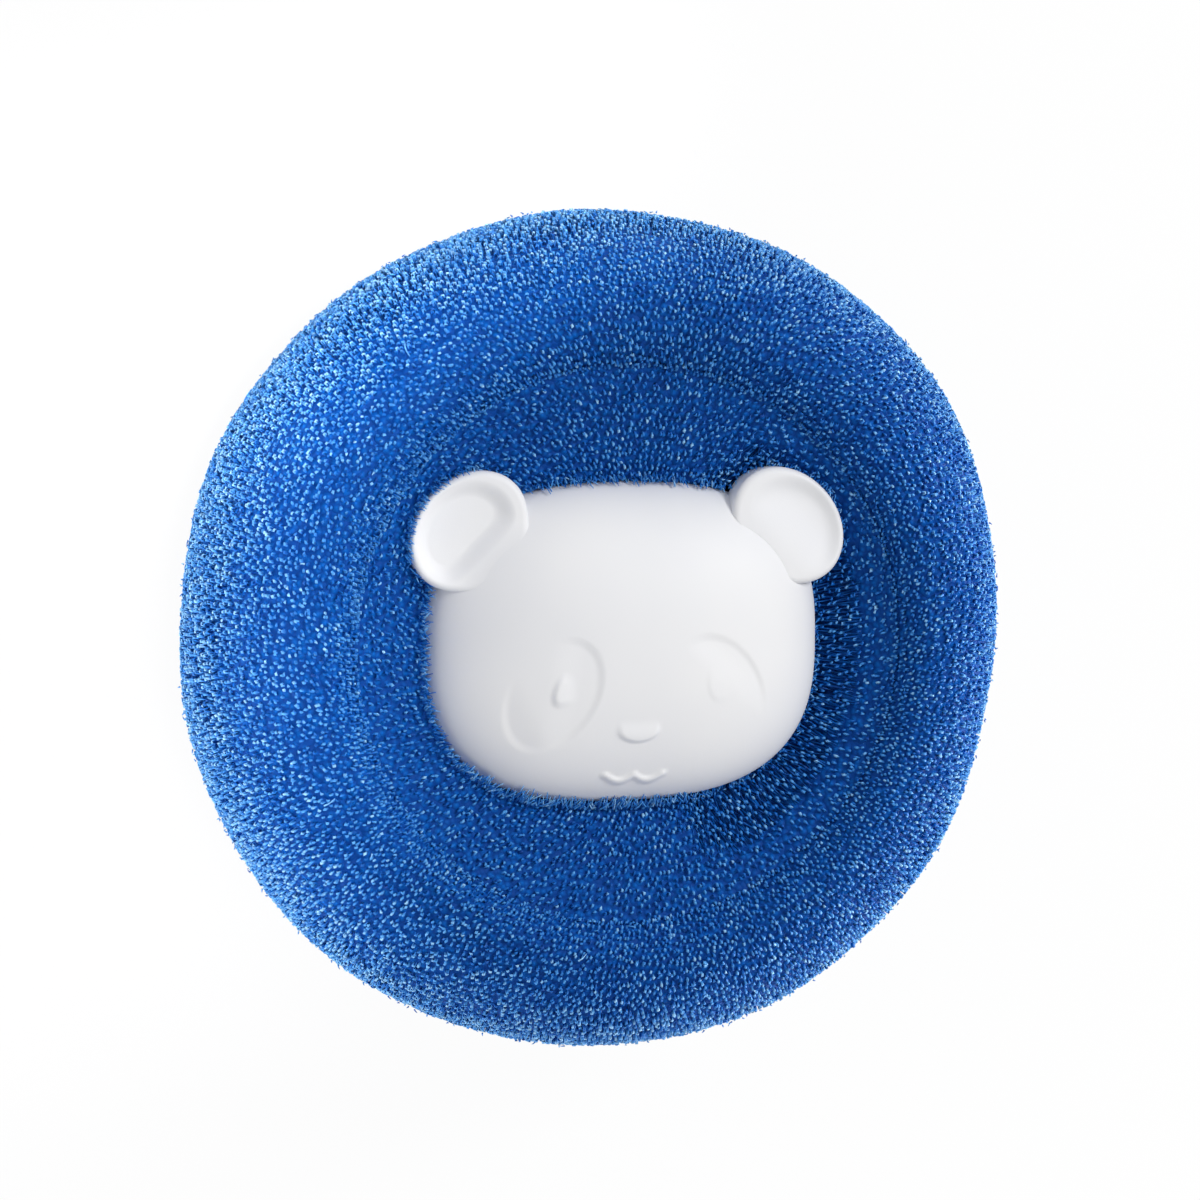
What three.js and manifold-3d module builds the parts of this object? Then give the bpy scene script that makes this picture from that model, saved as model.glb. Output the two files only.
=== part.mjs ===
// Pet hair laundry ball: a plump ring of knitted nylon mesh drawn in round a hollow white bear-head float.
// Millimetres. +Z is the ring's axis, out through the face; +Y points from the chin to the ears.
// The origin is on the surface that the ball rests on, under the middle of the ring.
import * as THREE from "three";
import { mergeVertices } from "three/addons/utils/BufferGeometryUtils.js";
import Module from "manifold-3d";

const wasm = await Module();
wasm.setup();

// Clearance between neighbouring pieces
const GAP = 0.4;

// Mesh ring: its round section, the flat that it rests on, the bowl for the head and the neck round the waist
const RING_RADIUS = 49.2;
const RING_HEIGHT = 45.5;
const RING_WIDEST_Z = 22.5;
const CREST_RADIUS = 35.5;
const REST_INNER = 23;
const REST_OUTER = 33;
const BOWL_RADIUS = 31.3;
const BOWL_Z = 38;
const BOWL_FLOOR_RADIUS = 22;
const BOWL_FLOOR_Z = 27.3;
const NECK_RADIUS = 9.2;
const NECK_TOP_Z = 24.6;
const NECK_BOTTOM_Z = 7.7;
const DIMPLE_RADIUS = 16.6;
const SLEEVE_WALL = 3.5;
const FULLNESS = 0.6;
const ROLL_GAP = 0.6;
const SLIT_LOW_Z = 12.4;
const SLIT_HIGH_Z = 20.2;
const RING_SEGMENTS = 36;

// Lumps of the hand-drawn ring: how far its outside wanders from a true circle, and where it swells
const LUMP_TWO = 0.5;
const LUMP_TWO_AT = THREE.MathUtils.degToRad(68);
const LUMP_THREE = 0.28;
const LUMP_THREE_AT = THREE.MathUtils.degToRad(50);
const LUMP_FOUR = 0.37;
const LUMP_FOUR_AT = THREE.MathUtils.degToRad(40);

// Threads that draw the two ends of the mesh in round the waist
const TIE_RADIUS = 9.7;
const TIE_THICK = 0.7;

// Bear head: half-width, half-height, squareness of its outline, front bulge and wall
const HEAD_X = 23.2;
const HEAD_Y = 18.3;
const HEAD_SQUARE = 2.7;
const HEAD_Z = 37.5;
const HEAD_BULGE = 8.5;
const DOME_EDGE = 2.2;
const SHELL_WALL = 1.8;
const SHELL_SKIRT = 1.2;
const HEAD_SECTORS = 36;

// Ears: dished oval discs with a raised rim, longest along the head's edge
const EAR_X = 18.6;
const EAR_Y = 13.2;
const EAR_Z = 40.1;
const EAR_RADIUS = 5.9;
const EAR_STRETCH = 1.25;
const EAR_TURN = 45;
const EAR_HALF_THICK = 2.2;
const EAR_DISH = 0.6;
const EAR_DISH_RADIUS = 3.7;
const EAR_RIM = 0.7;
const EAR_ROUND = 0.8;

// Face relief: sunk eye patches, raised eyes, nose and mouth
const PATCH_X = 9.8;
const PATCH_Y = -5.1;
const PATCH_LONG = 6.9;
const PATCH_SHORT = 4.8;
const PATCH_SLANT = THREE.MathUtils.degToRad(58);
const PATCH_DEPTH = 0.35;
const EYE_X = 9;
const EYE_Y = -4.6;
const EYE_HALF = [0.9, 1.9];
const EYE_SLANT = THREE.MathUtils.degToRad(-12);
const NOSE_Y = -9.6;
const NOSE_HALF = [2.5, 1.25, 0.6];
const MOUTH_Y = -14.4;
const MOUTH_HALF = 3.3;
const MOUTH_DIP = 0.8;
const MOUTH_THICK = 0.45;

// Back of the head: dish, tongue that locates the face shell, and hollow waist with a snap groove
const PART_Z = HEAD_Z - SHELL_SKIRT - 0.3;
const BACK_DEPTH = 9.5;
const BACK_WALL = 3;
const TONGUE_WALL = 1.2;
const TONGUE_HEIGHT = 1.8;
const WAIST_RADIUS = 8;
const WAIST_BORE = 6;
const WAIST_LOW_Z = 7.3;
const BORE_TOP_Z = 23.5;
const SNAP_Z = 18;
const SNAP_HALF = 1.1;
const SNAP_RADIUS = 6.8;
const SNAP_PLAY = 0.3;

// Rear button: shallow domed cap with a split plug of four barbed prongs
const BUTTON_RADIUS = 16;
const BUTTON_LOW_Z = 2.5;
const BUTTON_EDGE_Z = 5.2;
const BUTTON_TOP_Z = 7;
const BUTTON_FLAT = 9;
const BUTTON_SHOULDER = 1;
const BUTTON_BEVEL = 0.5;
const CORE_INNER = 9.5;
const CORE_OUTER = 13.8;
const CORE_Z = 5.4;
const PRONG_RADIUS = 5.6;
const PRONG_BORE = 3.9;
const PRONG_ROOT_Z = 6;
const PRONG_TOP_Z = 19.4;
const PRONG_TAPER = 0.4;
const PRONG_SLOT = 2;
const SLOT_LOW_Z = 8;

// Collar: gathered front end of the mesh, snug round the head and free of the bowl
const COLLAR_RADIUS = BOWL_RADIUS - GAP;
const COLLAR_TOP_Z = 42.6;
const COLLAR_LIP_RADIUS = 17.5;
const COLLAR_LIP_Z = 38.2;
const COLLAR_HOLE = 12;
const COLLAR_LOW_Z = 26.2;
const COLLAR_ROUND = 1.2;
const COLLAR_HUG = 0.4;

const knit = new THREE.MeshStandardMaterial({ color: 0x17549f, roughness: 0.55, metalness: 0 });
const thread = new THREE.MeshStandardMaterial({ color: 0x123f7c, roughness: 0.7, metalness: 0 });
const whitePlastic = new THREE.MeshStandardMaterial({ color: 0xececf0, roughness: 0.4, metalness: 0 });

// Closed geometry as a solid for joining and cutting
function solid(geometry) {
  const bare = geometry.clone();
  bare.deleteAttribute("normal");
  bare.deleteAttribute("uv");
  const merged = mergeVertices(bare, 1e-4);
  const mesh = new wasm.Mesh({
    numProp: 3,
    vertProperties: new Float32Array(merged.attributes.position.array),
    triVerts: new Uint32Array(merged.index.array),
  });
  return new wasm.Manifold(mesh);
}

// Named sub-part from a solid
function part(name, shape, material) {
  const made = shape.getMesh();
  const geometry = new THREE.BufferGeometry();
  geometry.setAttribute("position", new THREE.BufferAttribute(made.vertProperties, 3));
  geometry.setIndex(new THREE.BufferAttribute(made.triVerts, 1));
  geometry.computeVertexNormals();
  const mesh = new THREE.Mesh(geometry, material);
  mesh.name = name;
  return mesh;
}

// Solid of revolution about Z from a profile of radius and height
function turned(path, divisions, segments) {
  const geometry = new THREE.LatheGeometry(path.getPoints(divisions), segments);
  geometry.rotateX(Math.PI / 2);
  return solid(geometry);
}

// Upright disc or pillar between two heights
function pillar(radius, lowZ, highZ, segments = RING_SEGMENTS) {
  const geometry = new THREE.CylinderGeometry(radius, radius, highZ - lowZ, segments);
  geometry.rotateX(Math.PI / 2);
  geometry.translate(0, 0, (lowZ + highZ) / 2);
  return solid(geometry);
}

// Upright oval pillar through the face, with its long side along a slant
function ovalPillar(x, y, halfLong, halfShort, slant) {
  const geometry = new THREE.CylinderGeometry(1, 1, 2 * HEAD_Z, 20);
  geometry.rotateX(Math.PI / 2);
  geometry.scale(halfLong, halfShort, 1);
  geometry.rotateZ(slant);
  geometry.translate(x, y, HEAD_Z);
  return solid(geometry);
}

// Signed power that squares off a circle's sine or cosine into the head's outline
function squared(value) {
  return Math.sign(value) * Math.abs(value) ** (2 / HEAD_SQUARE);
}

// Height of a dome, as a share, at a share of the way out to its edge
function rise(share) {
  return Math.sqrt(Math.max(0, 1 - share ** DOME_EDGE));
}

// Height of the face above the resting surface
function faceZ(x, y) {
  const sum = Math.abs(x / HEAD_X) ** HEAD_SQUARE + Math.abs(y / HEAD_Y) ** HEAD_SQUARE;
  return HEAD_Z + HEAD_BULGE * rise(sum ** (1 / HEAD_SQUARE));
}

// Pillow-shaped dome on the head's outline, over a straight skirt, with its widest line at z = 0
function dome(inset, bulge, skirt, rings) {
  const sectors = HEAD_SECTORS;
  const position = [0, 0, bulge];
  const index = [];
  const addRing = (share, z) => {
    for (let j = 0; j < sectors; j++) {
      const turn = (j / sectors) * 2 * Math.PI;
      const x = (HEAD_X - inset) * share * squared(Math.cos(turn));
      const y = (HEAD_Y - inset) * share * squared(Math.sin(turn));
      position.push(x, y, z);
    }
  };
  for (let i = 1; i <= rings; i++) {
    const share = Math.sin((i / rings) * (Math.PI / 2));
    addRing(share, bulge * rise(share));
  }
  addRing(1, -skirt);
  const foot = position.length / 3;
  position.push(0, 0, -skirt);
  for (let j = 0; j < sectors; j++) {
    const next = (j + 1) % sectors;
    index.push(0, 1 + j, 1 + next);
    for (let i = 0; i < rings; i++) {
      const here = 1 + i * sectors;
      const below = here + sectors;
      index.push(here + j, below + j, below + next);
      index.push(here + j, below + next, here + next);
    }
    const last = 1 + rings * sectors;
    index.push(foot, last + next, last + j);
  }
  const geometry = new THREE.BufferGeometry();
  geometry.setAttribute("position", new THREE.Float32BufferAttribute(position, 3));
  geometry.setIndex(index);
  return geometry;
}

// Front half of the head, grown or shrunk all round
function frontDome(inset, skirt, rings) {
  return solid(dome(inset, HEAD_BULGE - inset, skirt, rings).translate(0, 0, HEAD_Z));
}

// Back half of the head below the parting line, grown or shrunk all round
function backDome(inset, skirt, rings) {
  const geometry = dome(inset, BACK_DEPTH - inset, skirt, rings);
  return solid(geometry.rotateX(Math.PI).translate(0, 0, PART_Z));
}

// Round solid stretched to the ears' oval and moved to one of them
function atEar(shape, side) {
  const turn = [0, 0, side * EAR_TURN];
  return shape.scale([1, EAR_STRETCH, 1]).rotate(turn).translate([side * EAR_X, EAR_Y, 0]);
}

// One ear: a thick disc with a rounded rim round a shallow dish
function ear(side) {
  const high = EAR_HALF_THICK;
  const dish = high - EAR_DISH;
  const rim = EAR_RADIUS - EAR_RIM;
  const slope = (rim + EAR_DISH_RADIUS) / 2;
  const profile = new THREE.Path();
  profile.moveTo(0, -high);
  profile.lineTo(EAR_RADIUS - EAR_ROUND, -high);
  profile.quadraticCurveTo(EAR_RADIUS, -high, EAR_RADIUS, EAR_ROUND - high);
  profile.lineTo(EAR_RADIUS, high - EAR_ROUND);
  profile.quadraticCurveTo(EAR_RADIUS, high, rim, high);
  profile.bezierCurveTo(slope, high, slope, dish, EAR_DISH_RADIUS, dish);
  profile.lineTo(0, dish);
  return atEar(turned(profile, 3, 24).translate([0, 0, EAR_Z]), side);
}

// Raised mouth: a round bead that dips twice as it follows the face
function mouthBead() {
  const route = [];
  for (let i = 0; i <= 8; i++) {
    const across = i / 4 - 1;
    const x = MOUTH_HALF * across;
    const y = MOUTH_Y - MOUTH_DIP * Math.abs(Math.sin(across * Math.PI)) ** 0.8;
    route.push(new THREE.Vector3(x, y, faceZ(x, y)));
  }
  const section = new THREE.Shape();
  section.absarc(0, 0, MOUTH_THICK, 0, 2 * Math.PI);
  const options = { extrudePath: new THREE.CatmullRomCurve3(route), steps: 12, curveSegments: 3 };
  return solid(new THREE.ExtrudeGeometry(section, options));
}

// Raised nose: a flattened oval bead on the face
function noseBead() {
  const geometry = new THREE.SphereGeometry(1, 12, 8);
  geometry.scale(...NOSE_HALF);
  geometry.translate(0, NOSE_Y, faceZ(0, NOSE_Y));
  return solid(geometry);
}

// Face shell: hollow front of the head with both ears and the face's relief, moulded in one
function makeFaceShell() {
  const sunkSkin = frontDome(PATCH_DEPTH, SHELL_SKIRT, 9);
  let shell = frontDome(0, SHELL_SKIRT, 9).add(ear(-1)).add(ear(1));
  for (const side of [-1, 1]) {
    const patch = ovalPillar(side * PATCH_X, PATCH_Y, PATCH_LONG, PATCH_SHORT, side * -PATCH_SLANT);
    const eye = ovalPillar(side * EYE_X, EYE_Y, EYE_HALF[0], EYE_HALF[1], side * EYE_SLANT);
    shell = shell.subtract(patch.subtract(eye).subtract(sunkSkin));
  }
  shell = shell.subtract(frontDome(SHELL_WALL, SHELL_SKIRT + 1, 5));
  return shell.add(noseBead()).add(mouthBead());
}

// Outline of the head, drawn in by an inset
function headOutline(inset) {
  const points = [];
  for (let j = 0; j < HEAD_SECTORS; j++) {
    const turn = (j / HEAD_SECTORS) * 2 * Math.PI;
    const x = (HEAD_X - inset) * squared(Math.cos(turn));
    const y = (HEAD_Y - inset) * squared(Math.sin(turn));
    points.push(new THREE.Vector2(x, y));
  }
  return points;
}

// Tongue: upright band on the back's edge that fits inside the face shell
function tongue() {
  const outside = SHELL_WALL + GAP;
  const shape = new THREE.Shape(headOutline(outside));
  shape.holes.push(new THREE.Path(headOutline(outside + TONGUE_WALL)));
  const band = new THREE.ExtrudeGeometry(shape, { depth: TONGUE_HEIGHT + 1, bevelEnabled: false });
  return solid(band.translate(0, 0, PART_Z - 1));
}

// Blind bore of the waist, with a groove that the button's barbs snap into
function snapBore() {
  const profile = new THREE.Path();
  profile.moveTo(0, WAIST_LOW_Z - 1);
  profile.lineTo(WAIST_BORE, WAIST_LOW_Z - 1);
  profile.lineTo(WAIST_BORE, SNAP_Z - SNAP_HALF);
  profile.lineTo(SNAP_RADIUS, SNAP_Z - SNAP_HALF);
  profile.lineTo(SNAP_RADIUS, SNAP_Z + SNAP_HALF);
  profile.lineTo(WAIST_BORE, SNAP_Z + SNAP_HALF);
  profile.lineTo(WAIST_BORE, BORE_TOP_Z);
  profile.lineTo(0, BORE_TOP_Z);
  return turned(profile, 1, 24);
}

// Head back: dish that closes the float, with the waist that passes through the ring
function makeHeadBack() {
  const waist = pillar(WAIST_RADIUS, WAIST_LOW_Z, PART_Z - BACK_DEPTH + 2, 24);
  const hollow = backDome(BACK_WALL, 1, 5);
  return backDome(0, 0, 7).add(waist).subtract(hollow).add(tongue()).subtract(snapBore());
}

// Rear button: domed cap behind the ring, snapped into the waist by its prongs
function makeRearButton() {
  const cap = new THREE.Path();
  const shoulder = [BUTTON_RADIUS - BUTTON_SHOULDER, BUTTON_LOW_Z + BUTTON_SHOULDER];
  cap.moveTo(0, BUTTON_LOW_Z);
  cap.bezierCurveTo(BUTTON_FLAT, BUTTON_LOW_Z, ...shoulder, BUTTON_RADIUS, BUTTON_EDGE_Z);
  cap.lineTo(BUTTON_RADIUS, BUTTON_TOP_Z - BUTTON_BEVEL);
  cap.lineTo(BUTTON_RADIUS - BUTTON_BEVEL, BUTTON_TOP_Z);
  cap.lineTo(CORE_OUTER, BUTTON_TOP_Z);
  cap.lineTo(CORE_OUTER, CORE_Z);
  cap.lineTo(CORE_INNER, CORE_Z);
  cap.lineTo(CORE_INNER, BUTTON_TOP_Z);
  cap.lineTo(0, BUTTON_TOP_Z);
  const barb = SNAP_RADIUS - SNAP_PLAY;
  const barbLowZ = SNAP_Z - SNAP_HALF + SNAP_PLAY;
  const plug = new THREE.Path();
  plug.moveTo(PRONG_BORE, PRONG_ROOT_Z);
  plug.lineTo(PRONG_RADIUS, PRONG_ROOT_Z);
  plug.lineTo(PRONG_RADIUS, barbLowZ);
  plug.lineTo(barb, barbLowZ);
  plug.lineTo(barb, SNAP_Z);
  plug.lineTo(PRONG_RADIUS - PRONG_TAPER, PRONG_TOP_Z);
  plug.lineTo(PRONG_BORE, PRONG_TOP_Z);
  plug.lineTo(PRONG_BORE, PRONG_ROOT_Z);
  const slotHeight = PRONG_TOP_Z - BUTTON_TOP_Z;
  const slot = new THREE.BoxGeometry(4 * PRONG_RADIUS, PRONG_SLOT, slotHeight);
  slot.translate(0, 0, SLOT_LOW_Z + slotHeight / 2);
  const along = solid(slot);
  const across = solid(slot.rotateZ(Math.PI / 2));
  const prongs = turned(plug, 1, 24).subtract(along).subtract(across);
  return turned(cap, 4, RING_SEGMENTS).add(prongs);
}

// Round corner of a section: runs from where the path is, bulges towards the corner and ends square to it
function round(path, cornerR, cornerZ, endR, endZ) {
  const { x, y } = path.currentPoint;
  const towards = (from, corner) => from + (corner - from) * FULLNESS;
  const first = [towards(x, cornerR), towards(y, cornerZ)];
  const second = [towards(endR, cornerR), towards(endZ, cornerZ)];
  path.bezierCurveTo(...first, ...second, endR, endZ);
}

// Outside of the ring's section, from the resting flat up over the crest, down the bowl and the neck
function ringOutside() {
  const path = new THREE.Path();
  path.moveTo(REST_INNER, 0);
  path.lineTo(REST_OUTER, 0);
  round(path, RING_RADIUS, 0, RING_RADIUS, RING_WIDEST_Z);
  round(path, RING_RADIUS, RING_HEIGHT, CREST_RADIUS, RING_HEIGHT);
  round(path, BOWL_RADIUS, RING_HEIGHT, BOWL_RADIUS, BOWL_Z);
  round(path, BOWL_RADIUS, BOWL_FLOOR_Z, BOWL_FLOOR_RADIUS, BOWL_FLOOR_Z);
  path.lineTo(NECK_RADIUS, NECK_TOP_Z);
  path.lineTo(NECK_RADIUS, NECK_BOTTOM_Z);
  path.lineTo(DIMPLE_RADIUS, NECK_BOTTOM_Z);
  round(path, DIMPLE_RADIUS, 0, REST_INNER, 0);
  return path;
}

// Inside of the ring's knitted skin, one wall's thickness in from the outside
function ringInside() {
  const path = new THREE.Path();
  const outerR = RING_RADIUS - SLEEVE_WALL;
  const highZ = RING_HEIGHT - SLEEVE_WALL;
  const bowlR = BOWL_RADIUS + SLEEVE_WALL;
  const bowlZ = BOWL_FLOOR_Z - SLEEVE_WALL;
  const neckR = NECK_RADIUS + SLEEVE_WALL;
  const dimpleR = DIMPLE_RADIUS + SLEEVE_WALL;
  const dimpleZ = NECK_BOTTOM_Z + SLEEVE_WALL;
  path.moveTo(dimpleR + SLEEVE_WALL, SLEEVE_WALL);
  path.lineTo(REST_OUTER, SLEEVE_WALL);
  round(path, outerR, SLEEVE_WALL, outerR, RING_WIDEST_Z);
  round(path, outerR, highZ, bowlR + SLEEVE_WALL, highZ);
  round(path, bowlR, highZ, bowlR, BOWL_Z);
  round(path, bowlR, bowlZ, BOWL_FLOOR_RADIUS, bowlZ);
  path.lineTo(neckR, NECK_TOP_Z - SLEEVE_WALL);
  path.lineTo(neckR, dimpleZ);
  path.lineTo(dimpleR, dimpleZ);
  round(path, dimpleR, SLEEVE_WALL, dimpleR + SLEEVE_WALL, SLEEVE_WALL);
  return path;
}

// Moves the outside of a ring in and out along its length, and leaves the bowl, neck and base round
function lumpy(ring) {
  return ring.warp((vertex) => {
    const [x, y, z] = vertex;
    const radius = Math.hypot(x, y);
    const turn = Math.atan2(y, x);
    const outside = THREE.MathUtils.smoothstep(radius, CREST_RADIUS + 1, RING_RADIUS);
    const two = LUMP_TWO * Math.cos(2 * (turn - LUMP_TWO_AT));
    const three = LUMP_THREE * Math.cos(3 * (turn - LUMP_THREE_AT));
    const four = LUMP_FOUR * Math.cos(4 * (turn - LUMP_FOUR_AT));
    const swell = 1 + (outside * (two + three + four)) / radius;
    vertex[0] = x * swell;
    vertex[1] = y * swell;
    vertex[2] = z;
  });
}

// Mesh sleeve: outer wraps of the knitted tube, open where its two ends meet at the waist
function makeMeshSleeve() {
  const slit = pillar(NECK_RADIUS + SLEEVE_WALL, SLIT_LOW_Z, SLIT_HIGH_Z);
  const ring = turned(ringOutside(), 5, RING_SEGMENTS);
  return lumpy(ring.subtract(turned(ringInside(), 3, RING_SEGMENTS)).subtract(slit));
}

// Closed section moved inwards by a distance, each corner along the mean of its two sides' normals
function drawnIn(points, distance) {
  const loop = points.slice(0, -1);
  const moved = loop.map((point, i) => {
    const before = loop.at(i - 1);
    const after = loop[(i + 1) % loop.length];
    const normalIn = point.clone().sub(before).normalize().add(after.clone().sub(point).normalize());
    normalIn.rotateAround(new THREE.Vector2(), Math.PI / 2).setLength(distance);
    return point.clone().add(normalIn);
  });
  return [...moved, moved[0]];
}

// Mesh roll: inner wraps of the same tube, which plump out the sleeve
function makeMeshRoll() {
  const section = new THREE.Path(drawnIn(ringInside().getPoints(3), ROLL_GAP));
  return lumpy(turned(section, 1, RING_SEGMENTS));
}

// Collar: cup of gathered mesh between the head and the bowl, cut to hug the head and its ears
function makeMeshCollar() {
  const path = new THREE.Path();
  path.moveTo(COLLAR_HOLE, COLLAR_LOW_Z);
  path.lineTo(BOWL_FLOOR_RADIUS, BOWL_FLOOR_Z + GAP);
  round(path, COLLAR_RADIUS, BOWL_FLOOR_Z + GAP, COLLAR_RADIUS, BOWL_Z);
  path.lineTo(COLLAR_RADIUS, COLLAR_TOP_Z - COLLAR_ROUND);
  round(path, COLLAR_RADIUS, COLLAR_TOP_Z, COLLAR_RADIUS - COLLAR_ROUND, COLLAR_TOP_Z);
  path.quadraticCurveTo(HEAD_X, COLLAR_LIP_Z + 1, COLLAR_LIP_RADIUS, COLLAR_LIP_Z);
  path.lineTo(COLLAR_HOLE, COLLAR_LIP_Z);
  path.lineTo(COLLAR_HOLE, COLLAR_LOW_Z);
  const head = frontDome(-COLLAR_HUG, SHELL_SKIRT + GAP, 8).add(backDome(-COLLAR_HUG, 0, 6));
  const earRoom = pillar(EAR_RADIUS + COLLAR_HUG, EAR_Z - EAR_HALF_THICK - COLLAR_HUG, RING_HEIGHT, 20);
  const cup = turned(path, 3, RING_SEGMENTS).subtract(head);
  return cup.subtract(atEar(earRoom, -1)).subtract(atEar(earRoom, 1));
}

// Tie: thread drawn tight round the waist inside the slit, against one end of the sleeve
function makeTie(z) {
  return solid(new THREE.TorusGeometry(TIE_RADIUS, TIE_THICK, 6, 24).translate(0, 0, z));
}

const ball = new THREE.Group();
ball.add(part("mesh_sleeve", makeMeshSleeve(), knit));
ball.add(part("mesh_roll", makeMeshRoll(), knit));
ball.add(part("front_tie", makeTie(SLIT_HIGH_Z - TIE_THICK - GAP), thread));
ball.add(part("rear_tie", makeTie(SLIT_LOW_Z + TIE_THICK + GAP), thread));
ball.add(part("mesh_collar", makeMeshCollar(), knit));
ball.add(part("face_shell", makeFaceShell(), whitePlastic));
ball.add(part("head_back", makeHeadBack(), whitePlastic));
ball.add(part("rear_button", makeRearButton(), whitePlastic));

export default ball;
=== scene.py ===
# Pet hair laundry ball: a plump ring of knitted nylon mesh, drawn in round a white bear-head float.
import bpy
import numpy as np
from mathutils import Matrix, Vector


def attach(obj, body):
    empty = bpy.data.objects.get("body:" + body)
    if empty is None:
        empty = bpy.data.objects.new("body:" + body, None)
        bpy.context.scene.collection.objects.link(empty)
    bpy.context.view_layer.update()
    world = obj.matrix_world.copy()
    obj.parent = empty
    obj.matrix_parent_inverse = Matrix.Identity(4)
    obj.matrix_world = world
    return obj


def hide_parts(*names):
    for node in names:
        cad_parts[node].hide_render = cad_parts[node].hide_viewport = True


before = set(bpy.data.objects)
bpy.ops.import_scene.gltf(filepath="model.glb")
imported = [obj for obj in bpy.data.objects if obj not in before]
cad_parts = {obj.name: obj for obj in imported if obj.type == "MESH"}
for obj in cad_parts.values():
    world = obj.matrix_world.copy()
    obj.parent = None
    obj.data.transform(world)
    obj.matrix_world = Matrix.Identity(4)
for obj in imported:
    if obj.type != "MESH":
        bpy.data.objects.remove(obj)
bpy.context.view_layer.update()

# Inner wraps of the mesh tube
# The tube is rolled on itself, so the same blue nylon loops lie in shade under the outermost layer.
# They are one closed soft form just under the outer stitches, drawn in at the waist of the float.
MM = 0.001
FULLNESS = 0.6
CREST = (35.5, 45.5)
WIDEST = (49.2, 22.5)
REST_OUTER = (33.0, 0.0)
REST_INNER = (23.0, 0.0)
DIMPLE = (16.6, 7.7)
SEAM = (31.6, 42.6)
SEAM_CORNER = (33.4, 45.5)
SWELLS = ((1, 0.6, 9), (2, 0.5, 68), (3, 0.28, 50), (4, 0.37, 40))
LIP_LIFT, LIP_SWAY = 0.9, 0.6
WRAP_DEPTH, RIM_DEPTH = 0.35, 0.8
NECK = ((10.0, 9.0), (10.0, 23.8), (21.6, 26.6))
BOWL_CORNER, BOWL_TOP = (31.7, 26.6), (31.7, 38.0)
UNDER_SEAM = (31.8, 42.3)


def rounded(start, corner, end, steps=60):
    """Cubic from start to end whose two middle points lie a share FULLNESS of the way to the corner."""
    start, corner, end = np.array(start), np.array(corner), np.array(end)
    near = start + FULLNESS * (corner - start)
    far = end + FULLNESS * (corner - end)
    t = np.linspace(0, 1, steps)[:, None]
    return (1 - t) ** 3 * start + 3 * (1 - t) ** 2 * t * near + 3 * (1 - t) * t**2 * far + t**3 * end


def evenly(path, count):
    """Points at even distances along a path of straight pieces, first and last ones kept."""
    step = np.linalg.norm(np.diff(path, axis=0), axis=1)
    run = np.concatenate([[0], np.cumsum(step)])
    at = np.linspace(0, run[-1], count)
    return np.stack([np.interp(at, run, path[:, i]) for i in range(path.shape[1])], -1)


def ring_outside():
    """Section of the ring from the seam in its bowl, over crest and outside, and under to the dimple."""
    crown = rounded(SEAM, SEAM_CORNER, CREST)
    shoulder = rounded(CREST, (WIDEST[0], CREST[1]), WIDEST)
    belly = rounded(WIDEST, (WIDEST[0], 0.0), REST_OUTER)
    rear = rounded(REST_INNER, (DIMPLE[0], 0.0), DIMPLE)
    return np.concatenate([crown, shoulder[1:], belly[1:], rear])


def smooth(value, low, high):
    """Share of the way from low to high, eased at both ends."""
    t = np.clip((value - low) / (high - low), 0, 1)
    return t * t * (3 - 2 * t)


def turned(radius, z, phi):
    """Points at a radius and a height, turned round the ring's axis.

    The outside swells by a sum of cosines of the angle, as the roll is plumper in places. The lip of the
    bowl sways by a sine and a cosine.
    """
    swell = -0.05
    for waves, height, towards in SWELLS:
        swell = swell + height * np.cos(waves * (phi - np.radians(towards)))
    lip = smooth(radius, SEAM[0], 36) * (1 - smooth(radius, 37, 47))
    sway = LIP_LIFT * np.sin(phi) - LIP_SWAY * np.cos(2 * phi)
    radius = radius + smooth(radius, 36.5, WIDEST[0]) * swell + lip * sway
    return np.stack([radius * np.cos(phi), radius * np.sin(phi), z + 0 * phi], -1)


def grid_quads(rows, columns, close_rows=True):
    """Quads between neighbouring points of a grid whose columns close, and its rows too unless said."""
    r = np.arange(rows if close_rows else rows - 1)[:, None]
    c = np.arange(columns)[None, :]
    next_r, next_c = (r + 1) % rows, (c + 1) % columns
    corners = [r * columns + c, r * columns + next_c, next_r * columns + next_c, next_r * columns + c]
    return np.stack(np.broadcast_arrays(*corners), -1).reshape(-1, 4)


def make_piece(name, points, faces, material, body, uv=None, tone=None):
    """Mesh in metres from points in millimetres and arrays of faces, with its map and its tone of colour."""
    mesh = bpy.data.meshes.new(name)
    corners = np.concatenate([f.ravel() for f in faces])
    sides = np.concatenate([np.full(len(f), f.shape[1]) for f in faces])
    mesh.vertices.add(len(points))
    mesh.vertices.foreach_set("co", (points * MM).astype(np.float32).ravel())
    mesh.loops.add(len(corners))
    mesh.loops.foreach_set("vertex_index", corners.astype(np.int32))
    mesh.polygons.add(len(sides))
    mesh.polygons.foreach_set("loop_start", (np.cumsum(sides) - sides).astype(np.int32))
    mesh.polygons.foreach_set("use_smooth", np.ones(len(sides), bool))
    mesh.update(calc_edges=True)
    if uv is not None:
        mesh.uv_layers.new(name="OFBake").data.foreach_set("uv", uv.astype(np.float32).ravel())
    if tone is not None:
        mesh.attributes.new("tone", "FLOAT", "POINT").data.foreach_set("value", tone.astype(np.float32))
    mesh.materials.append(material)
    piece = bpy.data.objects.new(name, mesh)
    bpy.context.scene.collection.objects.link(piece)
    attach(piece, body)
    return piece


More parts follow.
